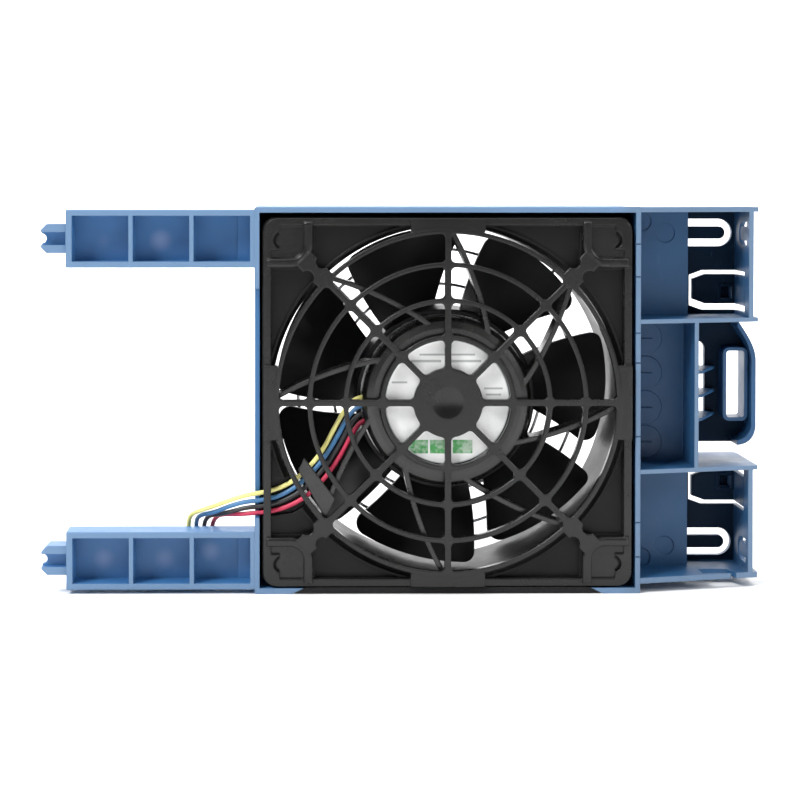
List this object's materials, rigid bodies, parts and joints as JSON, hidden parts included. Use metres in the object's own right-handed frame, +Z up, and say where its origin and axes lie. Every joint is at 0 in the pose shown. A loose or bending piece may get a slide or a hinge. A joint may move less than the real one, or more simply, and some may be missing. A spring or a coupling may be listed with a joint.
{
  "type": "server fan module",
  "caption": "Hot-swap cooling fan in a moulded carrier with two locating arms, latch bays with release tabs and a finger grip, front finger guard and loose leads.",
  "frame": {"origin": "on the underside of the carrier's main frame, under the fan's axis, at half the frame's depth", "axes": "+X to the grip end, +Y from the guarded front to the back, +Z up"},
  "size_m": [0.2364, 0.0436, 0.1253],
  "materials": {
    "carrier_plastic": "satin",
    "tab_plastic": "satin",
    "fan_plastic": "satin",
    "impeller_plastic": "gloss",
    "guard_plastic": "satin",
    "label_foil": "satin",
    "seal_foam": "matte",
    "steel_wire": "polished",
    "steel": "brushed",
    "electrical_steel": "satin",
    "magnet": "matte",
    "brass": "satin",
    "copper": "satin",
    "insulator_plastic": "matte",
    "board": "satin",
    "component": "matte",
    "yellow_insulation": "satin",
    "blue_insulation": "satin",
    "black_insulation": "satin",
    "red_insulation": "satin",
    "connector_plastic": "matte"
  },
  "bodies": {
    "carrier": {"carrier_frame": "carrier_plastic", "bottom_seal": "seal_foam", "upper_arm": "carrier_plastic", "lower_arm": "carrier_plastic", "upper_locating_pin": "carrier_plastic", "lower_locating_pin": "carrier_plastic", "upper_latch_bay": "carrier_plastic", "lower_latch_bay": "carrier_plastic", "finger_bay": "carrier_plastic", "handle_grip": "carrier_plastic", "fan_housing": "fan_plastic", "motor_mount": "fan_plastic", "motor_label": "label_foil", "front_guard": "guard_plastic", "bearing_outer_races": "steel", "bearing_balls": "steel", "bearing_tube": "brass", "stator_core": "electrical_steel", "stator_insulator": "insulator_plastic", "stator_coils": "copper", "circuit_board": "board", "board_components": "component", "rear_guard": "steel_wire", "rear_guard_screws": "steel", "connector_housing": "connector_plastic", "connector_terminals": "steel", "wire_yellow": "yellow_insulation", "wire_blue": "blue_insulation", "wire_black": "black_insulation", "wire_red": "red_insulation"},
    "rotor": {"impeller": "impeller_plastic", "rotor_yoke": "steel", "magnet_ring": "magnet", "rotor_bushing": "brass", "shaft": "steel", "retaining_ring": "steel", "preload_washer": "steel", "bearing_inner_races": "steel"},
    "upper_tab": {"upper_release_tab": "tab_plastic"},
    "lower_tab": {"lower_release_tab": "tab_plastic"},
    "upper_finger": {"upper_spring_finger": "tab_plastic"},
    "lower_finger": {"lower_spring_finger": "tab_plastic"}
  },
  "joints": [
    {"name": "fan_spin", "type": "hinge", "parent": "carrier", "child": "rotor", "pos_m": [0, 0, 0.0621], "axis": [0, 1, 0], "continuous": true},
    {"name": "upper_tab_flex", "type": "hinge", "parent": "carrier", "child": "upper_tab", "pos_m": [0.1006, -0.00688, 0.0972], "axis": [0, 0, 1], "range_deg": [-2, 3], "stiffness_Nm_per_rad": 0.1},
    {"name": "lower_tab_flex", "type": "hinge", "parent": "carrier", "child": "lower_tab", "pos_m": [0.1006, -0.00688, 0.03035], "axis": [0, 0, 1], "range_deg": [-2, 3], "stiffness_Nm_per_rad": 0.1},
    {"name": "upper_finger_flex", "type": "hinge", "parent": "carrier", "child": "upper_finger", "pos_m": [0.08253, 0.007, 0.1163], "axis": [0, 0, 1], "range_deg": [-4, 4], "stiffness_Nm_per_rad": 0.05},
    {"name": "lower_finger_flex", "type": "hinge", "parent": "carrier", "child": "lower_finger", "pos_m": [0.08253, 0.007, 0.01125], "axis": [0, 0, 1], "range_deg": [-4, 4], "stiffness_Nm_per_rad": 0.05}
  ]
}
